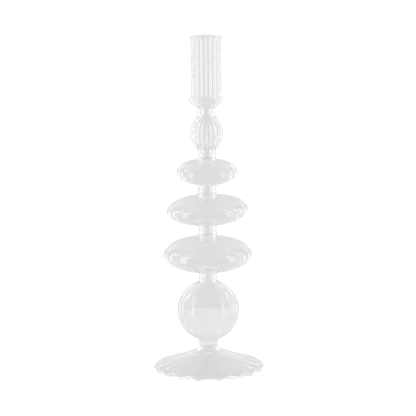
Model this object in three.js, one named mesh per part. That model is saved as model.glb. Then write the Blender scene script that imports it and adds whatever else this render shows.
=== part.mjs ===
// Ribbed glass candlestick, free standing, for one 22 mm taper candle.
// It is hollow clear glass: fluted tube blown into a collar, an oval bulb, three flattened discs and
// a ball, with short stems between them, above a flared foot with a scalloped rim. The sections are
// worked one by one and flame-welded end to end, so each is a solid of its own here, and neighbours
// meet face to face on a level weld. Millimetres, +Z up, origin at the middle of the resting plane.
import * as THREE from "three";

// Driving dimensions.
const HEIGHT = 280;
const RIBS = 22;
const SCALLOPS = 18;
const CUP_RADIUS = 12.8;
const CUP_WALL = 1.45;
const STEM_WALL = 2.3;
const BULB_WALL = 0.8; // at the widest ring: the glass thins as it is blown out
const RIM_RADIUS = 46.2;

// Sections from the foot up. Each stem's radius is shared with the sections that it joins.
const STEMS = { stem_6: 7.8, stem_5: 7.5, stem_4: 7.8, stem_3: 7.9, stem_2: 7.6, stem_1: 6.9 };
const STEM_WAIST = 0.2;
const FOOT_TOP = 19.5;

// Blown sections: middle height, radius, half height below and above, and the power of the outline
// (2 is an ellipse, more is squarer), between the stems named below and above.
const BLOWN = [
  { name: "ball", from: "stem_6", to: "stem_5",
    z: 49.6, radius: 25.9, down: 25.7, up: 25.7, power: 2.02 },
  { name: "large_disc", from: "stem_5", to: "stem_4",
    z: 97.4, radius: 37, down: 14.6, up: 14.6, power: 2.06 },
  { name: "middle_disc", from: "stem_4", to: "stem_3",
    z: 135, radius: 33.8, down: 12.1, up: 12.1, power: 2.08 },
  { name: "small_disc", from: "stem_3", to: "stem_2",
    z: 167, radius: 25.2, down: 10.3, up: 10.3, power: 2.3 },
  { name: "oval_bulb", from: "stem_2", to: "stem_1",
    z: 198.2, radius: 13.8, down: 13, up: 17.5, power: 2.05 },
];
const SHOULDER = 2.7; // how far a fillet runs out from a stem onto a blown section
const FILLET_RISE = 2.1; // and how far along the stem
const OUTLINE_STEPS = 6;
const FILLET_STEPS = 2;

// Drip collar, under the cup.
const COLLAR = { z: 228, radius: 14.6, down: 7.6, up: 5.8, power: 2, to: "stem_1" };
const COLLAR_TOP = 232;
const CREASE_RADIUS = 12.4;
const CREASE_BORE = 11.3;

// Cup: a rolled lip on a straight tube.
const TUBE_ROUNDING = 2.5; // height over which the tube widens from the crease
const LIP_OVERHANG = 0.55;
const FLARE_HEIGHT = 2.6; // where the tube starts to flare, below the top
const LIP_HEIGHT = 1.4;
const LIP_EDGE = 0.6; // height of the bevel outside the lip's flat top
const LIP_FLAT_OVERHANG = 0.2;
const MOUTH_BEVEL = [0.5, 0.8]; // width and height, on the inside

// Rib cut: deepest on the fluted tube. The ribs flatten where the glass is blown wider, and they
// nearly fade out on the narrow stems.
const RIB_START_RADIUS = 5.5;
const RIB_DEEPEST = 0.28;
const RIB_FLATTENING = 0.5;

// Foot skirt.
const SKIRT_THICKNESS = 1.8;
const SKIRT_INNER_RADIUS = 13.5;
const SKIRT_INNER_HEIGHT = 14.3;
const SKIRT_EDGE_HEIGHT = 2.3;
const SKIRT_RINGS = [0.82, 0.66, 0.46]; // shares of the edge's radius
const UNDER_RIM_RING = 0.88;
const SKIRT_RISE_STEPS = 3;
const PAD_WIDTH = 2.2;
const PAD_INSET = 0.4;
const EDGE_HEIGHT = 1.1;
const EDGE_BEVEL = 0.5;
const WAVE_RADIAL = 0.9;
const WAVE_DROOP = 0.6;
const WAVE_START_RADIUS = 30;

const point = (radius, height) => new THREE.Vector2(radius, height);

// How deep the grooves between the ribs are where the glass has this radius.
function ribDepth(radius) {
  const grown = THREE.MathUtils.clamp((radius - RIB_START_RADIUS) / (CUP_RADIUS - RIB_START_RADIUS), 0, 1);
  return RIB_DEEPEST * grown * Math.min(CUP_RADIUS / radius, 1) ** RIB_FLATTENING;
}

// One quarter of a blown outline, from its widest ring to radius endRadius: an ellipse-like curve
// of the given power. direction is 1 for the upper quarter and -1 for the lower.
function quarter({ z, radius, height, power, endRadius, direction }) {
  const lastAngle = Math.acos((endRadius / radius) ** (power / 2));
  const points = [];
  for (let i = 0; i <= OUTLINE_STEPS / 2; i += 1) {
    const angle = (lastAngle * i) / (OUTLINE_STEPS / 2);
    const rise = height * Math.sin(angle) ** (2 / power);
    points.push(point(radius * Math.cos(angle) ** (2 / power), z + direction * rise));
  }
  return points;
}

// A quarter and the fillet that turns it up or down along the stem, ending at stemRadius, weldZ.
function quarterWithFillet({ stemRadius, weldZ, ...shape }) {
  const endRadius = stemRadius + SHOULDER;
  const points = quarter({ ...shape, endRadius });
  const end = points[points.length - 1];
  const across = (endRadius / shape.radius) ** (shape.power - 1);
  const along = (Math.abs(end.y - shape.z) / shape.height) ** (shape.power - 1);
  const slope = ((shape.height / shape.radius) * across) / along;
  const corner = point(stemRadius, end.y + shape.direction * slope * SHOULDER);
  const weld = point(stemRadius, weldZ ?? corner.y + shape.direction * FILLET_RISE);
  const fillet = new THREE.QuadraticBezierCurve(end, corner, weld).getPoints(FILLET_STEPS);
  return [...points, ...fillet.slice(1)];
}

// Outer outline of a blown section, bottom to top, from weld to weld.
function blownOutline({ z, radius, down, up, power, from, to }) {
  const lower = { z, radius, height: down, power, direction: -1, stemRadius: STEMS[from] };
  const upper = { z, radius, height: up, power, direction: 1, stemRadius: STEMS[to] };
  return [...quarterWithFillet(lower).reverse(), ...quarterWithFillet(upper).slice(1)];
}

// Inner outline of the same section, bottom to top, ending on the same two levels.
function blownBore({ z, radius, down, up, power, from, to }, lowWeld, highWeld) {
  const inside = { z, radius: radius - BULB_WALL, power };
  const lower = { ...inside, height: down - BULB_WALL, direction: -1 };
  const upper = { ...inside, height: up - BULB_WALL, direction: 1 };
  return [
    ...quarterWithFillet({ ...lower, stemRadius: STEMS[from] - STEM_WALL, weldZ: lowWeld }).reverse(),
    ...quarterWithFillet({ ...upper, stemRadius: STEMS[to] - STEM_WALL, weldZ: highWeld }).slice(1),
  ];
}

// Turns a wall between an outer and an inner outline, both listed bottom to top, about the Z axis.
// shape(vertex, outside) then moves each point of the turned wall. start turns the first point.
function turnedWall({ outer, inner, sides, shape, start = 0 }) {
  const profile = [...outer, ...[...inner].reverse(), outer[0]];
  const geometry = new THREE.LatheGeometry(profile, sides, start);
  geometry.rotateX(Math.PI / 2);
  const positions = geometry.attributes.position;
  const vertex = new THREE.Vector3();
  for (let i = 0; i < positions.count; i += 1) {
    const step = i % profile.length;
    const outside = step < outer.length || step === profile.length - 1;
    vertex.fromBufferAttribute(positions, i);
    shape(vertex, outside);
    positions.setXYZ(i, vertex.x, vertex.y, vertex.z);
  }
  geometry.computeVertexNormals();
  return geometry;
}

// Moves a point out along its own radius.
function spread(vertex, distance) {
  const scale = 1 + distance / Math.hypot(vertex.x, vertex.y);
  vertex.x *= scale;
  vertex.y *= scale;
}

// Cuts the grooves between the ribs into the outside. The bore stays round.
function cutRibs(vertex, outside) {
  if (!outside) return;
  const angle = Math.atan2(vertex.y, vertex.x);
  const depth = ribDepth(Math.hypot(vertex.x, vertex.y));
  spread(vertex, (-depth * (1 - Math.cos(RIBS * angle))) / 2);
}

// Pulls the skirt's rim into scallops: each one reaches out and droops, and its lowest part is flat.
function scallop(vertex) {
  const wave = Math.cos(SCALLOPS * Math.atan2(vertex.y, vertex.x)) / Math.SQRT1_2;
  const radius = Math.hypot(vertex.x, vertex.y);
  const grip = THREE.MathUtils.smoothstep(radius, WAVE_START_RADIUS, RIM_RADIUS - WAVE_RADIAL - PAD_WIDTH);
  spread(vertex, WAVE_RADIAL * wave * grip);
  vertex.z += WAVE_DROOP * (1 - wave) * grip;
}

// Clear glass with the faint grey-green of its thickness.
function clearGlass(tint) {
  return new THREE.MeshStandardMaterial({
    color: tint,
    roughness: 0.04,
    metalness: 0,
    transparent: true,
    opacity: 0.35,
  });
}

function section(name, outer, inner, tint) {
  const geometry = turnedWall({ outer, inner, sides: 2 * RIBS, shape: cutRibs });
  const mesh = new THREE.Mesh(geometry, clearGlass(tint));
  mesh.name = name;
  return mesh;
}

// A section that is blown between two stems.
function blownSection(spec) {
  const outer = blownOutline(spec);
  const inner = blownBore(spec, outer[0].y, outer[outer.length - 1].y);
  return section(spec.name, outer, inner, 0xf0f4f2);
}

// A short stem between two welds, very slightly waisted.
function stem(name, bottom, top) {
  const radius = STEMS[name];
  const outer = [point(radius, bottom), point(radius - STEM_WAIST, (bottom + top) / 2), point(radius, top)];
  const inner = [point(radius - STEM_WALL, bottom), point(radius - STEM_WALL, top)];
  return section(name, outer, inner, 0xe9efec);
}

// The collar swells out under the cup and funnels down to the first stem. The candle's foot rests
// in the funnel, where the bore gets narrower than the candle.
function dripCollar() {
  const { z, radius, down, up, power, to } = COLLAR;
  const bottom = { z, radius, height: down, power, direction: -1, stemRadius: STEMS[to] };
  const top = { z, radius, height: up, power, direction: 1, endRadius: CREASE_RADIUS };
  const crease = point(CREASE_RADIUS, COLLAR_TOP);
  const outer = [...quarterWithFillet(bottom).reverse(), ...quarter(top).slice(1, -1), crease];
  const funnel = {
    ...bottom,
    radius: radius - BULB_WALL,
    height: down - BULB_WALL,
    stemRadius: STEMS[to] - STEM_WALL,
    weldZ: outer[0].y,
  };
  const inner = [...quarterWithFillet(funnel).reverse(), point(CREASE_BORE, COLLAR_TOP)];
  return section("drip_collar", outer, inner, 0xeef3f0);
}

// The cup: a straight fluted tube with a rolled lip. The lip's top is flat for its middle part.
function candleCup() {
  const bore = CUP_RADIUS - CUP_WALL;
  const lip = CUP_RADIUS + LIP_OVERHANG;
  const outer = [
    point(CREASE_RADIUS, COLLAR_TOP),
    point(CUP_RADIUS, COLLAR_TOP + TUBE_ROUNDING),
    point(CUP_RADIUS, HEIGHT - FLARE_HEIGHT),
    point(lip, HEIGHT - LIP_HEIGHT),
    point(lip, HEIGHT - LIP_EDGE),
    point(CUP_RADIUS + LIP_FLAT_OVERHANG, HEIGHT),
  ];
  const inner = [
    point(CREASE_BORE, COLLAR_TOP),
    point(bore, COLLAR_TOP + TUBE_ROUNDING),
    point(bore, HEIGHT - MOUTH_BEVEL[1]),
    point(bore + MOUTH_BEVEL[0], HEIGHT),
  ];
  return section("candle_cup", outer, inner, 0xf2f6f4);
}

// The foot: a thin conical skirt, hollow underneath, on the pads of its scallops.
function foot() {
  const stemRadius = STEMS.stem_6;
  const edge = RIM_RADIUS - WAVE_RADIAL;
  const slope = (SKIRT_INNER_HEIGHT - SKIRT_EDGE_HEIGHT) / (edge - SKIRT_INNER_RADIUS);
  const skirtTop = (radius) => point(radius, SKIRT_EDGE_HEIGHT + slope * (edge - radius));
  const skirtUnder = (radius) => point(radius, skirtTop(radius).y - SKIRT_THICKNESS);
  const rise = (start, weldRadius) => {
    const corner = point(weldRadius, start.y + slope * (start.x - weldRadius));
    const weld = point(weldRadius, FOOT_TOP);
    return new THREE.QuadraticBezierCurve(start, corner, weld).getPoints(SKIRT_RISE_STEPS);
  };
  const outer = [
    point(edge - PAD_INSET, 0),
    point(edge, EDGE_HEIGHT),
    skirtTop(edge - EDGE_BEVEL),
    ...SKIRT_RINGS.map((share) => skirtTop(edge * share)),
    ...rise(skirtTop(SKIRT_INNER_RADIUS), stemRadius),
  ];
  const inner = [
    point(edge - PAD_INSET - PAD_WIDTH, 0),
    ...[UNDER_RIM_RING, ...SKIRT_RINGS].map((share) => skirtUnder(edge * share)),
    ...rise(skirtUnder(SKIRT_INNER_RADIUS - SKIRT_THICKNESS), stemRadius - STEM_WALL),
  ];
  const sides = 4 * SCALLOPS;
  const start = Math.PI / sides;
  const geometry = turnedWall({ outer, inner, sides, shape: scallop, start });
  const mesh = new THREE.Mesh(geometry, clearGlass(0xe6ecea));
  mesh.name = "foot";
  return mesh;
}

const candlestick = new THREE.Group();
candlestick.add(foot());
let bottom = FOOT_TOP;
for (const spec of BLOWN) {
  const weld = blownOutline(spec);
  candlestick.add(stem(spec.from, bottom, weld[0].y), blownSection(spec));
  bottom = weld[weld.length - 1].y;
}
const collar = dripCollar();
collar.geometry.computeBoundingBox();
candlestick.add(stem(COLLAR.to, bottom, collar.geometry.boundingBox.min.z), collar, candleCup());

export default candlestick;
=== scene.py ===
"""Ribbed, blown clear-glass candlestick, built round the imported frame. Metres, +Z up."""

import math

import bpy
import numpy as np
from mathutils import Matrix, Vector

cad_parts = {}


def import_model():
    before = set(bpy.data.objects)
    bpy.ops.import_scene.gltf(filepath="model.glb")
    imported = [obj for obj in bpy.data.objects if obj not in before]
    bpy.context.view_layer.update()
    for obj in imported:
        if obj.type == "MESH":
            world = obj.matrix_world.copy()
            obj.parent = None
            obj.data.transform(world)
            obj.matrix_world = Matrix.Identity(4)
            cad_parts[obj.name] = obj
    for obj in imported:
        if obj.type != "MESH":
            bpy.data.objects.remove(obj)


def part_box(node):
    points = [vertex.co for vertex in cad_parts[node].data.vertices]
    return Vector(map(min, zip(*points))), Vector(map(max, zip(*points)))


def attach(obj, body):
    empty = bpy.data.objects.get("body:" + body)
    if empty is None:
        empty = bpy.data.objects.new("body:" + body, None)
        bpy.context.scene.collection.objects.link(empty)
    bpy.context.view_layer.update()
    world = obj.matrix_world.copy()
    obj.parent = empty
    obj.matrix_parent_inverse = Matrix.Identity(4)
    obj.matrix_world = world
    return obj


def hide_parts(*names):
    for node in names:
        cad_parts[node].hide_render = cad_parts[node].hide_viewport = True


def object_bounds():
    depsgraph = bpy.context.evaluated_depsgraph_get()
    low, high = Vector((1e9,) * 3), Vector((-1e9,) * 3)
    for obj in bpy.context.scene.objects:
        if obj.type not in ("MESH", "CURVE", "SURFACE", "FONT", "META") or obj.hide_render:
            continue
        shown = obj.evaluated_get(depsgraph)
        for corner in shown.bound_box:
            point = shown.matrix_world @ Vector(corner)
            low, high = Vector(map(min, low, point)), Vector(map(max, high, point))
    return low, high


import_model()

MM = 0.001
cad_box = [list(corner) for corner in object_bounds()]

# Blown sections from the foot up, each between the stems below and above it.
# widest: where the section is widest, as a share of its height.
# power: of its outline. 2 is an ellipse, more is squarer.
BLOWN = {
    "ball": dict(below="stem_6", above="stem_5", widest=0.500, power=2.02),
    "large_disc": dict(below="stem_5", above="stem_4", widest=0.500, power=2.06),
    "middle_disc": dict(below="stem_4", above="stem_3", widest=0.500, power=2.08),
    "small_disc": dict(below="stem_3", above="stem_2", widest=0.500, power=2.30),
    "oval_bulb": dict(below="stem_2", above="stem_1", widest=0.430, power=2.05),
}
BLOWN_WALL = 0.8 * MM      # at the widest ring: the glass thins as it is blown out

STEMS = 6
STEM_WALL = 2.3 * MM
STEM_WAIST = 0.2 * MM
SHOULDER = 2.7 * MM        # how far a fillet runs out from a stem onto a blown section
FILLET_RISE = 2.1 * MM     # and how far along the stem
STRAIGHT = 0.25 * MM       # straight stretch at each weld, so that neighbours meet smoothly
BISECTIONS = 40            # steps in the search for a section's half height

# Drip collar, under the cup.
COLLAR_WIDEST = 0.68       # as a share of its height
COLLAR_POWER = 2.0
COLLAR_HALF = 5.8 * MM     # half height of the ellipse above the widest ring
CREASE = 12.4 * MM         # radius where the collar meets the cup, outside
CREASE_BORE = 11.3 * MM    # and inside
CREASE_FILLET = (0.6 * MM, 0.45 * MM)   # how far out and up the fillet reaches, outside
BORE_FILLET = (0.5 * MM, 0.4 * MM)      # and inside

# Cup: a straight tube with a rolled lip.
LIP_OVERHANG = 0.55 * MM
LIP_HALF = 1.1 * MM        # half height of the roll
TUBE_WALL = 1.45 * MM
TUBE_START = 3 * MM        # height over which the tube widens from the crease
TUBE_CORNER = (0.1 * MM, 1.6 * MM)      # outward and upward from the crease
FLARE_START = 3.2 * MM     # where the tube starts to flare, below the top
FLARE_CORNER = 2.2 * MM

# Ribs: the same formula for every section, so that they meet at the welds.
RIBS = 22
STEPS_PER_RIB = 12
RIB_START_RADIUS = 5.5 * MM
RIB_FULL_RADIUS = 12.8 * MM   # the tube's own radius: blown wider than this, the ribs flatten
RIB_DEEPEST = 0.28 * MM
RIB_FLATTENING = 0.5
CREST_WIDTH = 2.5          # above 1, crests are broad and grooves narrow
RIB_SEED = 11
RIB_SPREAD = 0.3           # how much neighbouring ribs differ in depth

# Foot skirt. Insets are measured inwards from the edge between two scallops.
FOOT_THICKNESS = 1.8 * MM
SHOULDER_RADIUS = 13.5 * MM      # where the skirt turns up into the neck
SHOULDER_HEIGHT = 14.3 * MM
SHOULDER_UNDER = 2.1 * MM        # the underside turns up this much nearer to the axis
SKIRT_INSET = 1.1 * MM           # where the skirt's top leaves the bead
SKIRT_HEIGHT = 2.5 * MM
UNDER_INSET = 3.6 * MM           # where its underside does
UNDER_HEIGHT = 1.3 * MM
BEAD = 1.25 * MM                 # radius of the rim's bead
BEAD_LOWEST, BEAD_TOP, BEAD_HEEL = -90, 78, -150    # degrees round the bead

SCALLOPS = 18
STEPS_PER_SCALLOP = 16
WAVE_RADIAL = 0.9 * MM
WAVE_DROOP = 0.6 * MM
WAVE_START = 30 * MM
WAVE_FULL_INSET = 2.2 * MM

# The middle disc's rim is a little lower on the left.
LEAN = math.tan(math.radians(1.7))
LEAN_START = 9 * MM              # the radius where the lean begins
LEAN_FULL = 24 * MM              # and the radius from which it is complete

rng = np.random.default_rng(RIB_SEED)
rib_strength = 1 + RIB_SPREAD * rng.uniform(-1, 1, RIBS)


def radius_of(node):
    """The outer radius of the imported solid."""
    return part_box(node)[1][0]


def heights_of(node):
    """The heights of its bottom and its top."""
    low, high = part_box(node)
    return low[2], high[2]


# Outlines. Each is an array of (radius, height) rows, from the bottom to the top.

def superellipse(radius, height, power, end_radius, steps):
    """One quarter, from the widest ring at height 0 up to end_radius."""
    last = math.acos((end_radius / radius) ** (power / 2))
    angle = np.linspace(0, last, steps + 1)
    across, up = np.cos(angle) ** (2 / power), np.sin(angle) ** (2 / power)
    return np.column_stack([radius * across, height * up])


def bezier(start, corner, end, steps):
    """A quadratic curve that heads for the corner at both ends."""
    t = np.linspace(0, 1, steps + 1)[:, None]
    return (1 - t) ** 2 * np.array(start) + 2 * t * (1 - t) * np.array(corner) + t * t * np.array(end)


def quarter(radius, height, power, stem_radius, weld, steps=26, fillet_steps=9):
    """A quarter and its fillet onto the stem. weld is the height of the weld above the widest ring."""
    end_radius = stem_radius + SHOULDER
    curve = superellipse(radius, height, power, end_radius, steps)
    end = curve[-1]
    slope = (height / radius) * (end_radius / radius) ** (power - 1) / (end[1] / height) ** (power - 1)
    corner = (stem_radius, end[1] + slope * SHOULDER)
    fillet = bezier(end, corner, (stem_radius, weld - STRAIGHT), fillet_steps)
    return np.vstack([curve, fillet[1:], [(stem_radius, weld)]])


def pole_height(radius, power, stem_radius, weld):
    """The half height whose fillet, FILLET_RISE long, ends at the weld."""
    low, high = 0.3 * weld, weld
    end_radius = stem_radius + SHOULDER
    for _ in range(BISECTIONS):
        height = (low + high) / 2
        share = (1 - (end_radius / radius) ** power) ** (1 / power)
        slope = (height / radius) * (end_radius / radius) ** (power - 1) / share ** (power - 1)
        if height * share + slope * SHOULDER + FILLET_RISE < weld:
            low = height
        else:
            high = height
    return height


def both_ways(middle, lower, upper):
    """Joins a lower quarter, listed upwards from the widest ring, and an upper one."""
    down = lower[::-1] * (1, -1)
    return np.vstack([down, upper[1:]]) + (0, middle)


def blown_outlines(node, below, above, widest, power):
    bottom, top = heights_of(node)
    middle = bottom + widest * (top - bottom)
    radius = radius_of(node)
    outer, inner = [], []
    for stem, weld in ((below, middle - bottom), (above, top - middle)):
        stem_radius = radius_of(stem)
        height = pole_height(radius, power, stem_radius, weld)
        outer.append(quarter(radius, height, power, stem_radius, weld))
        inner.append(quarter(radius - BLOWN_WALL, height - BLOWN_WALL, power,
                             stem_radius - STEM_WALL, weld, 18, 8))
    return both_ways(middle, *outer), both_ways(middle, *inner)


def stem_outlines(node):
    bottom, top = heights_of(node)
    radius = radius_of(node)
    t = np.linspace(0, 1, 9)
    outer = np.column_stack([radius - STEM_WAIST * np.sin(math.pi * t) ** 2, bottom + t * (top - bottom)])
    inner = np.column_stack([np.full(5, radius - STEM_WALL), np.linspace(bottom, top, 5)])
    return outer, inner


def arc(centre, radii, start, end, steps):
    """Part of an ellipse, angles in degrees from the +radius direction."""
    angle = np.radians(np.linspace(start, end, steps + 1))
    return np.column_stack([centre[0] + radii[0] * np.cos(angle), centre[1] + radii[1] * np.sin(angle)])


def collar_top(radius, height, crease, fillet, middle, top, steps):
    """The quarter above the collar's widest ring, turned up into the crease under the cup."""
    curve = superellipse(radius, height, COLLAR_POWER, crease + fillet[0], steps)
    corner = (crease, curve[-1][1] + fillet[1])
    neck = bezier(curve[-1], corner, (crease, top - STRAIGHT - middle), 5)
    return np.vstack([curve, neck[1:], [(crease, top - middle)]])


def collar_outlines():
    bottom, top = heights_of("drip_collar")
    radius = radius_of("drip_collar")
    stem_radius = radius_of("stem_1")
    middle = bottom + COLLAR_WIDEST * (top - bottom)
    weld = middle - bottom
    height = pole_height(radius, COLLAR_POWER, stem_radius, weld)
    lower = quarter(radius, height, COLLAR_POWER, stem_radius, weld, 20)
    upper = collar_top(radius, COLLAR_HALF, CREASE, CREASE_FILLET, middle, top, 12)
    funnel = quarter(radius - BLOWN_WALL, height - BLOWN_WALL, COLLAR_POWER,
                     stem_radius - STEM_WALL, weld, 16)
    inside = collar_top(radius - BLOWN_WALL, COLLAR_HALF - BLOWN_WALL, CREASE_BORE, BORE_FILLET,
                        middle, top, 10)
    return both_ways(middle, lower, upper), both_ways(middle, funnel, inside)


def cup_outlines():
    bottom, top = heights_of("candle_cup")
    lip = radius_of("candle_cup")
    tube = lip - LIP_OVERHANG
    inside = tube - TUBE_WALL
    half = (lip - inside) / 2
    corner, start = bottom + TUBE_CORNER[1], bottom + TUBE_START
    flare_start, roll_middle = top - FLARE_START, top - LIP_HALF
    round_up = bezier((CREASE, bottom + STRAIGHT), (CREASE + TUBE_CORNER[0], corner), (tube, start), 8)
    wall = np.column_stack([np.full(12, tube), np.linspace(start, flare_start, 12)])
    flare = bezier((tube, flare_start), (tube, top - FLARE_CORNER), (lip, roll_middle), 6)
    roll = arc((lip - half, roll_middle), (half, LIP_HALF), 0, 180, 18)
    outer = np.vstack([[(CREASE, bottom)], round_up, wall[1:], flare[1:], roll[1:10]])
    inner_top = roll[9:][::-1]
    rise = bezier((CREASE_BORE, bottom + STRAIGHT), (CREASE_BORE, corner), (inside, start), 6)
    straight = np.column_stack([np.full(8, inside), np.linspace(start, roll_middle, 8)])
    inner = np.vstack([[(CREASE_BORE, bottom)], rise, straight[1:-1], inner_top])
    return outer, inner


def foot_outlines():
    top = heights_of("foot")[1]
    stem_radius = radius_of("stem_6")
    edge = radius_of("foot") - WAVE_RADIAL
    shoulder = (SHOULDER_RADIUS, SHOULDER_HEIGHT)
    rim = (edge - SKIRT_INSET, SKIRT_HEIGHT)
    slope = (shoulder[1] - rim[1]) / (rim[0] - shoulder[0])
    corner = (stem_radius, shoulder[1] + slope * (shoulder[0] - stem_radius))
    skirt = np.linspace(rim, shoulder, 30)
    neck = bezier(shoulder, corner, (stem_radius, top - STRAIGHT), 14)
    bead_centre, bead_radii = (edge - BEAD, BEAD), (BEAD, BEAD)
    bead = arc(bead_centre, bead_radii, BEAD_LOWEST, BEAD_TOP, 14)
    outer = np.vstack([bead, skirt, neck[1:], [(stem_radius, top)]])
    bore = stem_radius - STEM_WALL
    inner_shoulder = (SHOULDER_RADIUS - SHOULDER_UNDER,
                      shoulder[1] + slope * SHOULDER_UNDER - FOOT_THICKNESS)
    inner_corner = (bore, inner_shoulder[1] + slope * (inner_shoulder[0] - bore))
    under = np.linspace((edge - UNDER_INSET, UNDER_HEIGHT), inner_shoulder, 30)
    heel = arc(bead_centre, bead_radii, BEAD_LOWEST, BEAD_HEEL, 5)
    neck = bezier(inner_shoulder, inner_corner, (bore, top - STRAIGHT), 14)
    return outer, np.vstack([heel, under, neck[1:], [(bore, top)]])


# Shapes. Each moves the points of a turned wall. outside is True on its outer surface.

def rib_depth(radius, angle):
    """How deep the groove is at this place. Each rib has a depth of its own."""
    grown = np.clip((radius - RIB_START_RADIUS) / (RIB_FULL_RADIUS - RIB_START_RADIUS), 0, 1)
    flattened = np.minimum(RIB_FULL_RADIUS / radius, 1) ** RIB_FLATTENING
    deepest = RIB_DEEPEST * grown * flattened
    wave = (1 - np.cos(RIBS * angle)) / 2
    turn = (angle / math.tau * RIBS) % RIBS
    which = np.floor(turn).astype(int)
    share = turn - which
    strength = rib_strength[which % RIBS] * (1 - share) + rib_strength[(which + 1) % RIBS] * share
    return deepest * strength * wave ** CREST_WIDTH


def ribbed(radius, angle, height, outside):
    return radius - outside * rib_depth(radius, angle), height


def leaning(radius, angle, height, outside):
    """Ribbed, with the rim a little lower on the left, as the disc set while the glass was soft."""
    grip = np.clip((radius - LEAN_START) / (LEAN_FULL - LEAN_START), 0, 1) ** 2
    radius, height = ribbed(radius, angle, height, outside)
    return radius, height + LEAN * grip * radius * np.cos(angle)


def scalloped(radius, angle, height, outside):
    """The skirt's rim in scallops, each reaching out and drooping."""
    edge = radius_of("foot") - WAVE_RADIAL
    t = np.clip((radius - WAVE_START) / (edge - WAVE_FULL_INSET - WAVE_START), 0, 1)
    grip = t * t * (3 - 2 * t)
    wave = np.cos(SCALLOPS * angle)
    return radius + WAVE_RADIAL * wave * grip, height + WAVE_DROOP * (1 - wave) * grip


def turned(name, outer, inner, sides, shape, welds):
    """A closed wall between two outlines. welds says which ends are flat weld faces."""
    ring = np.vstack([outer, inner[::-1]])
    if "bottom" not in welds and np.allclose(ring[0], ring[-1]):
        ring = ring[:-1]
    outside = np.arange(len(ring)) < len(outer)
    angle = np.arange(sides) * math.tau / sides
    radius, turn = np.meshgrid(ring[:, 0], angle, indexing="ij")
    height = np.repeat(ring[:, 1][:, None], sides, 1)
    radius, height = shape(radius, turn, height, np.repeat(outside[:, None], sides, 1))
    points = np.stack([radius * np.cos(turn), radius * np.sin(turn), height], -1).reshape(-1, 3)
    n = len(ring)
    i, j = np.meshgrid(np.arange(n), np.arange(sides), indexing="ij")
    k, m = (i + 1) % n, (j + 1) % sides
    faces = np.stack([i * sides + j, i * sides + m, k * sides + m, k * sides + j], -1).reshape(-1, 4)
    band = np.repeat(np.arange(n), sides)
    weld_bands = [b for b, end in ((len(outer) - 1, "top"), (n - 1, "bottom")) if end in welds]
    mesh = bpy.data.meshes.new(name)
    mesh.from_pydata(points.tolist(), [], faces.tolist())
    mesh.polygons.foreach_set("use_smooth", np.ones(len(faces), bool))
    is_weld = np.isin(band, weld_bands)
    mesh.polygons.foreach_set("material_index", is_weld.astype(int))
    rings = np.concatenate([[b, (b + 1) % n] for b in weld_bands]) if weld_bands else np.array([-1])
    ends = np.empty(len(mesh.edges) * 2, int)
    mesh.edges.foreach_get("vertices", ends)
    ends = ends.reshape(-1, 2) // sides
    sharp = (ends[:, 0] == ends[:, 1]) & np.isin(ends[:, 0], rings)
    mesh.edges.foreach_set("use_edge_sharp", sharp)
    mesh.update()
    piece = bpy.data.objects.new(name, mesh)
    bpy.context.scene.collection.objects.link(piece)
    return piece


# Materials.

GLASS_IOR = 1.47
BUMP_HEIGHT = 0.2 * MM


def glass(name, tint, roughness, striae, waviness):
    """Clear glass: a faint uneven tint, faint uneven polish and drawn-out striae.

    tint and roughness are the values at the two ends of the noise, and striae is its scale in each
    direction: a small number draws the noise out.
    """
    material = bpy.data.materials.new(name)
    material.use_nodes = True
    nodes, links = material.node_tree.nodes, material.node_tree.links
    shader = nodes["Principled BSDF"]
    shader.inputs["Transmission Weight"].default_value = 1.0
    shader.inputs["IOR"].default_value = GLASS_IOR
    place = nodes.new("ShaderNodeTexCoord")
    stretch = nodes.new("ShaderNodeMapping")
    stretch.inputs["Scale"].default_value = striae
    links.new(place.outputs["Object"], stretch.inputs["Vector"])
    noise = nodes.new("ShaderNodeTexNoise")
    noise.inputs["Scale"].default_value = 1.0
    noise.inputs["Detail"].default_value = 3.0
    links.new(stretch.outputs["Vector"], noise.inputs["Vector"])
    colour = nodes.new("ShaderNodeValToRGB")
    colour.color_ramp.elements[0].position = 0.3
    colour.color_ramp.elements[1].position = 0.7
    colour.color_ramp.elements[0].color = (*tint[0], 1)
    colour.color_ramp.elements[1].color = (*tint[1], 1)
    links.new(noise.outputs["Fac"], colour.inputs["Fac"])
    links.new(colour.outputs["Color"], shader.inputs["Base Color"])
    polish = nodes.new("ShaderNodeMapRange")
    polish.inputs["To Min"].default_value = roughness[0]
    polish.inputs["To Max"].default_value = roughness[1]
    links.new(noise.outputs["Fac"], polish.inputs["Value"])
    links.new(polish.outputs["Result"], shader.inputs["Roughness"])
    bump = nodes.new("ShaderNodeBump")
    bump.inputs["Strength"].default_value = waviness
    bump.inputs["Distance"].default_value = BUMP_HEIGHT
    links.new(noise.outputs["Fac"], bump.inputs["Height"])
    links.new(bump.outputs["Normal"], shader.inputs["Normal"])
    return material


def weld_face():
    """The two faces of a flame weld are one mass of glass, so light passes between them unbent."""
    material = bpy.data.materials.new("weld")
    material.use_nodes = True
    shader = material.node_tree.nodes["Principled BSDF"]
    shader.inputs["Alpha"].default_value = 0.0
    shader.inputs["Roughness"].default_value = 0.0
    return material


TUBE_TINT = ((0.95, 0.955, 0.95), (0.965, 0.97, 0.965))
TINT = ((0.95, 0.955, 0.952), (0.965, 0.97, 0.967))

tube_glass = glass("glass_tube", TUBE_TINT, roughness=(0.0, 0.02), striae=(60, 60, 3), waviness=0.0)
blown_glass = glass("glass_blown", TINT, roughness=(0.0, 0.02), striae=(60, 60, 30), waviness=0.05)
stem_glass = glass("glass_stem", TINT, roughness=(0.0, 0.03), striae=(120, 120, 40), waviness=0.05)
foot_glass = glass("glass_foot", TINT, roughness=(0.01, 0.05), striae=(80, 80, 80), waviness=0.08)
weld = weld_face()


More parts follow.
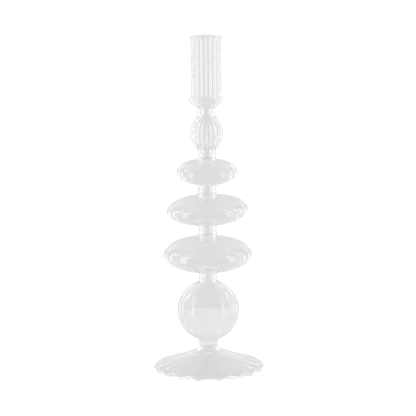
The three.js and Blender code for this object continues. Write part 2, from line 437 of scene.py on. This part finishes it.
def place_piece(node, material, outlines, shape=ribbed, sides=RIBS * STEPS_PER_RIB,
                welds=("bottom", "top")):
    """One glass piece in place of one CAD solid."""
    outer, inner = outlines
    piece = turned(node + "_glass", outer, inner, sides, shape, welds)
    piece.data.materials.append(material)
    piece.data.materials.append(weld)
    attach(piece, "root")
    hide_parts(node)
    return piece


place_piece("candle_cup", tube_glass, cup_outlines(), welds=("bottom",))
place_piece("drip_collar", blown_glass, collar_outlines())
for node, spec in BLOWN.items():
    shape = leaning if node == "middle_disc" else ribbed
    place_piece(node, blown_glass, blown_outlines(node, **spec), shape)
for number in range(1, STEMS + 1):
    node = f"stem_{number}"
    place_piece(node, stem_glass, stem_outlines(node))
place_piece("foot", foot_glass, foot_outlines(), scalloped,
            sides=SCALLOPS * STEPS_PER_SCALLOP, welds=("top",))


# Studio.

# Brightness of the surroundings. Y and X below are those of a ray's direction.
WHITE = 1.12               # seen past the object
ROOM_FRONT = 0.55          # mirrored in the glass, towards the front
ROOM = 0.76                # and elsewhere
ROOM_TURN = (-0.7, -0.1)   # the Y over which one passes into the other
BEHIND_CAMERA = 0.74       # seen through the glass, towards the front
PANEL = 1.16               # and beyond the object, times the share in AROUND at that |X|
AROUND = ((0.0, 0.68), (0.1, 0.68), (0.26, 1.0), (0.48, 1.0), (0.57, 0.68))
BEYOND_TURN = (-0.1, 0.4)

FLOOR_RADIUS = 0.225
FLOOR_SIDES = 96
FLOOR_DROP = 0.05 * MM     # below the foot, so that the two don't touch
FLOOR_ALBEDO = 0.27
FLOOR_GLOW = 0.58          # seen through the glass or mirrored in it
FLOOR_GLOW_SEEN = 0.78     # seen by the camera

# Side lights: on each side one tall leaf in front of the object and one behind it. The gap between
# them keeps the foot from mirroring a light at its flanks when it is seen from the side.
LEAF_WIDTH = 0.37
LEAF_HEIGHT = 3.0
LEAF_X = 1.4
LEAF_Y = 0.545
LEAF_Z = 0.3
LEAF_AIM = 0.14            # height on the axis that the leaves face
LEAF_POWER_LEFT = 9.5
LEAF_POWER_RIGHT = 7.5

# Camera.
TARGET_X = 0.55 * MM
TARGET_SHARE = 0.487       # of the object's height
CAMERA_DISTANCE = 2.241
CAMERA_HEIGHT = 0.567
CAMERA_LENS = 237.5
CAMERA_SENSOR = 36.0
CAMERA_ROLL = math.radians(-0.57)
CAMERA_CLIP = (0.05, 30)

BOUNCES = 128              # light crosses many walls on its way through the hollow glass


def floor():
    """A round pale table with a glow of its own. Its far edge is the line across the ball."""
    material = bpy.data.materials.new("floor_white")
    material.use_nodes = True
    nodes, links = material.node_tree.nodes, material.node_tree.links
    shader = nodes["Principled BSDF"]
    shader.inputs["Base Color"].default_value = (FLOOR_ALBEDO, FLOOR_ALBEDO, FLOOR_ALBEDO, 1)
    shader.inputs["Roughness"].default_value = 0.9
    shader.inputs["Specular IOR Level"].default_value = 0.0
    shader.inputs["Emission Color"].default_value = (1, 1, 1, 1)
    path = nodes.new("ShaderNodeLightPath")
    glow = nodes.new("ShaderNodeMapRange")
    glow.inputs["To Min"].default_value = FLOOR_GLOW
    glow.inputs["To Max"].default_value = FLOOR_GLOW_SEEN
    links.new(path.outputs["Is Camera Ray"], glow.inputs["Value"])
    links.new(glow.outputs["Result"], shader.inputs["Emission Strength"])
    mesh = bpy.data.meshes.new("floor")
    z = cad_box[0][2] - FLOOR_DROP
    turns = [math.tau * side / FLOOR_SIDES for side in range(FLOOR_SIDES)]
    rim = [(FLOOR_RADIUS * math.cos(turn), FLOOR_RADIUS * math.sin(turn), z) for turn in turns]
    mesh.from_pydata(rim, [], [range(FLOOR_SIDES)])
    mesh.materials.append(material)
    plane = bpy.data.objects.new("floor", mesh)
    bpy.context.scene.collection.objects.link(plane)


def ramp(nodes, stops):
    """A grey colour ramp with these (position, value) stops."""
    node = nodes.new("ShaderNodeValToRGB")
    node.color_ramp.interpolation = "EASE"
    elements = node.color_ramp.elements
    while len(elements) < len(stops):
        elements.new(0.5)
    for element, (position, value) in zip(elements, stops):
        element.position = position
        element.color = (value, value, value, 1)
    return node


def smooth_turn(nodes, span, ends):
    """Passes smoothly from one of the two end values to the other over the span of its input."""
    node = nodes.new("ShaderNodeMapRange")
    node.interpolation_type = "SMOOTHSTEP"
    node.inputs["From Min"].default_value, node.inputs["From Max"].default_value = span
    node.inputs["To Min"].default_value, node.inputs["To Max"].default_value = ends
    return node


def math_node(nodes, operation):
    node = nodes.new("ShaderNodeMath")
    node.operation = operation
    return node


def background(nodes):
    node = nodes.new("ShaderNodeBackground")
    node.inputs["Color"].default_value = (1, 1, 1, 1)
    return node


def world():
    """Plain white past the object. The glass lets through a grey backdrop with brighter panels to
    both sides, and it mirrors a pale room that is darker towards the front."""
    scene_world = bpy.data.worlds.new("studio")
    bpy.context.scene.world = scene_world
    scene_world.use_nodes = True
    nodes, links = scene_world.node_tree.nodes, scene_world.node_tree.links
    path = nodes.new("ShaderNodeLightPath")
    place = nodes.new("ShaderNodeTexCoord")
    split = nodes.new("ShaderNodeSeparateXYZ")
    links.new(place.outputs["Generated"], split.inputs["Vector"])

    plain = nodes["Background"]
    plain.inputs["Color"].default_value = (1, 1, 1, 1)
    plain.inputs["Strength"].default_value = WHITE

    sideways = math_node(nodes, "ABSOLUTE")
    links.new(split.outputs["X"], sideways.inputs[0])
    around = ramp(nodes, AROUND)
    links.new(sideways.outputs["Value"], around.inputs["Fac"])
    panels = math_node(nodes, "MULTIPLY")
    panels.inputs[1].default_value = PANEL
    links.new(around.outputs["Color"], panels.inputs[0])
    beyond = smooth_turn(nodes, BEYOND_TURN, (0, 1))
    links.new(split.outputs["Y"], beyond.inputs["Value"])
    lit = nodes.new("ShaderNodeMapRange")
    lit.inputs["To Min"].default_value = BEHIND_CAMERA
    links.new(beyond.outputs["Result"], lit.inputs["Value"])
    links.new(panels.outputs["Value"], lit.inputs["To Max"])
    seen_through = background(nodes)
    links.new(lit.outputs["Result"], seen_through.inputs["Strength"])

    front = smooth_turn(nodes, ROOM_TURN, (ROOM_FRONT, ROOM))
    links.new(split.outputs["Y"], front.inputs["Value"])
    mirrored_room = background(nodes)
    links.new(front.outputs["Result"], mirrored_room.inputs["Strength"])

    mirrored = math_node(nodes, "MULTIPLY")
    links.new(path.outputs["Is Reflection Ray"], mirrored.inputs[0])
    links.new(path.outputs["Is Glossy Ray"], mirrored.inputs[1])
    through = nodes.new("ShaderNodeMixShader")
    links.new(path.outputs["Is Transmission Ray"], through.inputs["Fac"])
    links.new(plain.outputs["Background"], through.inputs[1])
    links.new(seen_through.outputs["Background"], through.inputs[2])
    mix = nodes.new("ShaderNodeMixShader")
    links.new(mirrored.outputs["Value"], mix.inputs["Fac"])
    links.new(through.outputs["Shader"], mix.inputs[1])
    links.new(mirrored_room.outputs["Background"], mix.inputs[2])
    links.new(mix.outputs["Shader"], nodes["World Output"].inputs["Surface"])


def softbox(name, x, y, power):
    """A tall leaf of light that is seen only as a reflection."""
    light = bpy.data.lights.new(name, "AREA")
    light.shape = "RECTANGLE"
    light.size = LEAF_WIDTH
    light.size_y = LEAF_HEIGHT
    light.energy = power
    lamp = bpy.data.objects.new(name, light)
    lamp.location = (x, y, LEAF_Z)
    facing = Vector((0, 0, LEAF_AIM)) - lamp.location
    lamp.rotation_euler = facing.to_track_quat("-Z", "Y").to_euler()
    lamp.visible_camera = False
    lamp.visible_diffuse = False
    lamp.visible_transmission = False
    bpy.context.scene.collection.objects.link(lamp)


def camera():
    """In front of the object and a little above it, with a long lens."""
    low, high = (Vector(corner) for corner in cad_box)
    middle = (low + high) / 2
    target = Vector((TARGET_X, 0, low.z + TARGET_SHARE * (high.z - low.z)))
    data = bpy.data.cameras.new("camera")
    data.sensor_width = CAMERA_SENSOR
    data.lens = CAMERA_LENS
    data.clip_start, data.clip_end = CAMERA_CLIP
    eye = bpy.data.objects.new("camera", data)
    eye.location = (target.x, middle.y - CAMERA_DISTANCE, CAMERA_HEIGHT)
    aim = (target - eye.location).to_track_quat("-Z", "Y")
    eye.rotation_euler = aim.to_euler()
    eye.rotation_euler.rotate_axis("Z", CAMERA_ROLL)
    bpy.context.scene.collection.objects.link(eye)
    bpy.context.scene.camera = eye


floor()
world()
for end, y in (("front", -LEAF_Y), ("back", LEAF_Y)):
    softbox("softbox_left_" + end, -LEAF_X, y, LEAF_POWER_LEFT)
    softbox("softbox_right_" + end, LEAF_X, y, LEAF_POWER_RIGHT)
camera()
scene = bpy.context.scene
scene.view_settings.view_transform = "Standard"
scene.cycles.use_denoising = True
scene.cycles.use_adaptive_sampling = False
scene.cycles.max_bounces = BOUNCES
scene.cycles.transmission_bounces = BOUNCES
scene.cycles.glossy_bounces = BOUNCES
scene.cycles.transparent_max_bounces = BOUNCES
